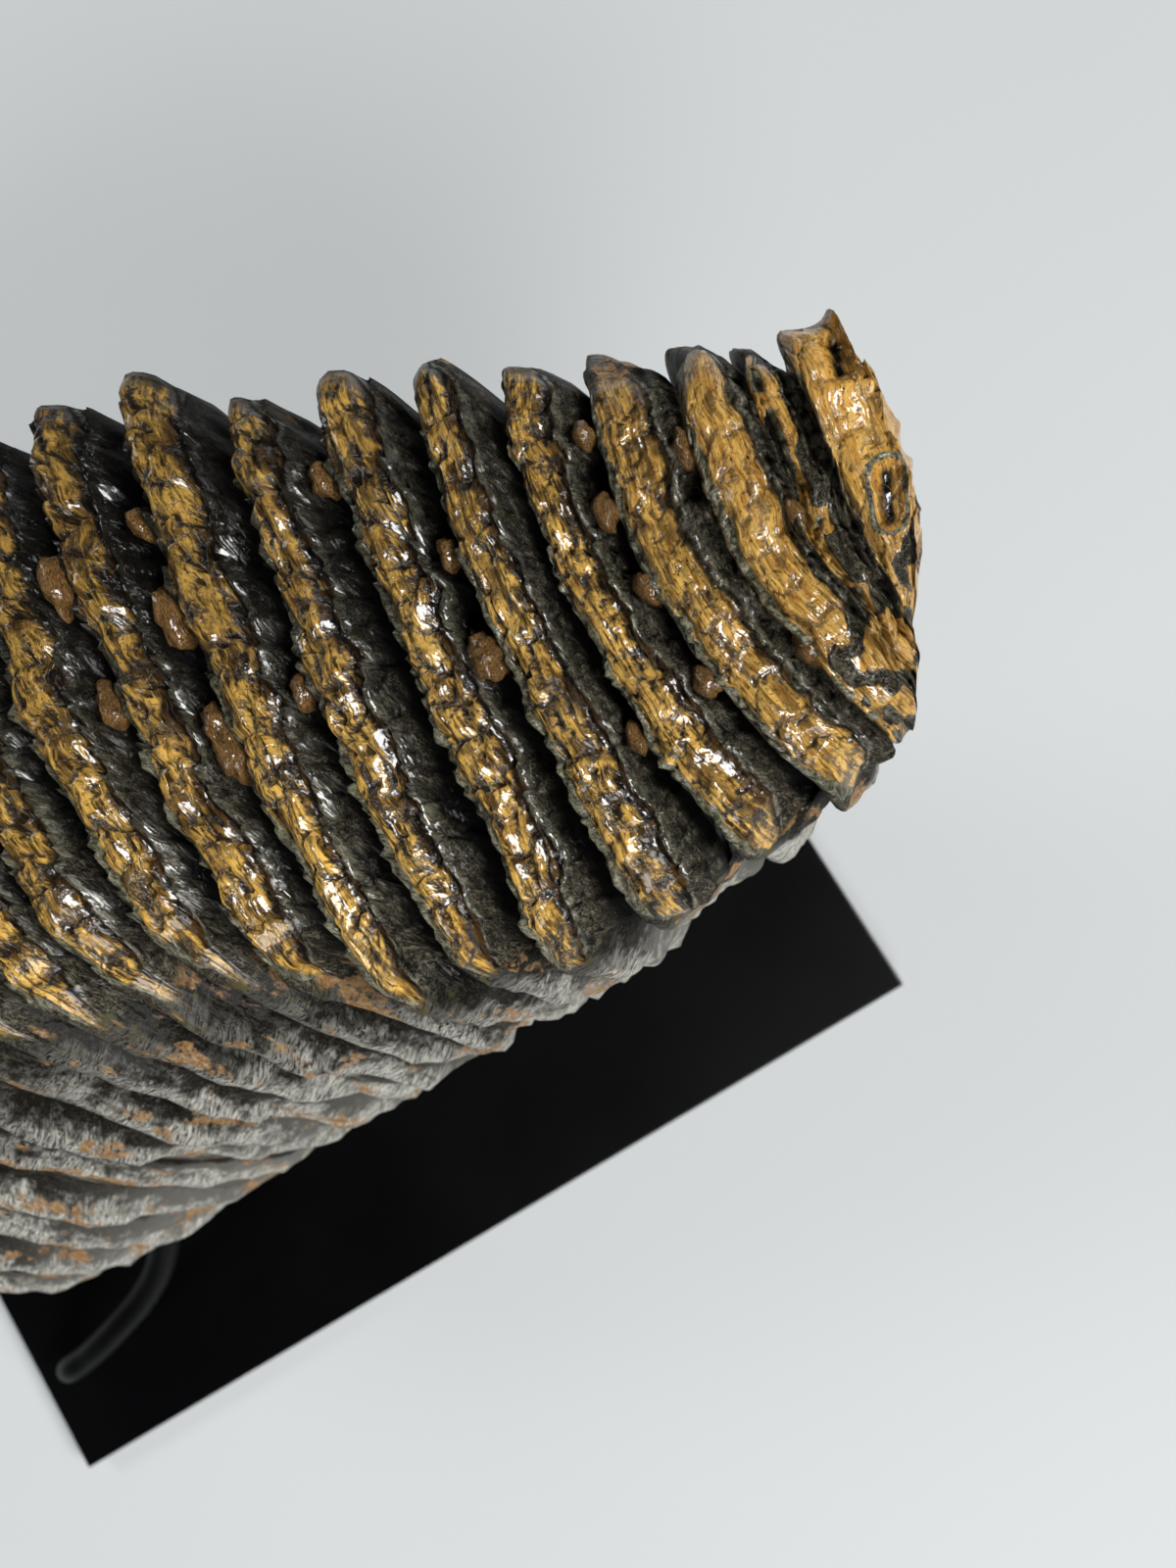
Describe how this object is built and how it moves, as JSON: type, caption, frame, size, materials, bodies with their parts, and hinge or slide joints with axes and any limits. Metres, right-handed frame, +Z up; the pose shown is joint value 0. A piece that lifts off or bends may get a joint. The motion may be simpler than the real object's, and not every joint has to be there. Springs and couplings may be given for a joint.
{
  "type": "fossil mammoth tooth on a stand",
  "caption": "Fossil mammoth molar with leaning enamel plates, resting on bent black rods over a flat rectangular base plate.",
  "frame": {"origin": "centre of the base plate's underside", "axes": "+Z up; +X along the base and the tooth, towards its worn end; +Y towards the back"},
  "size_m": [0.3389, 0.1795, 0.1809],
  "materials": {
    "fossil_tooth": "varnished fossil: ochre dentine, grey-green enamel rims and charcoal cement under a wet gloss",
    "black_base": "smooth black gloss paint on steel plate",
    "black_rod": "black satin-gloss paint on bent steel rod"
  },
  "bodies": {
    "root": {"molar": "fossil_tooth", "base_plate": "black_base", "front_left_leg": "black_rod", "back_left_leg": "black_rod", "front_right_leg": "black_rod", "back_right_leg": "black_rod"}
  },
  "joints": []
}
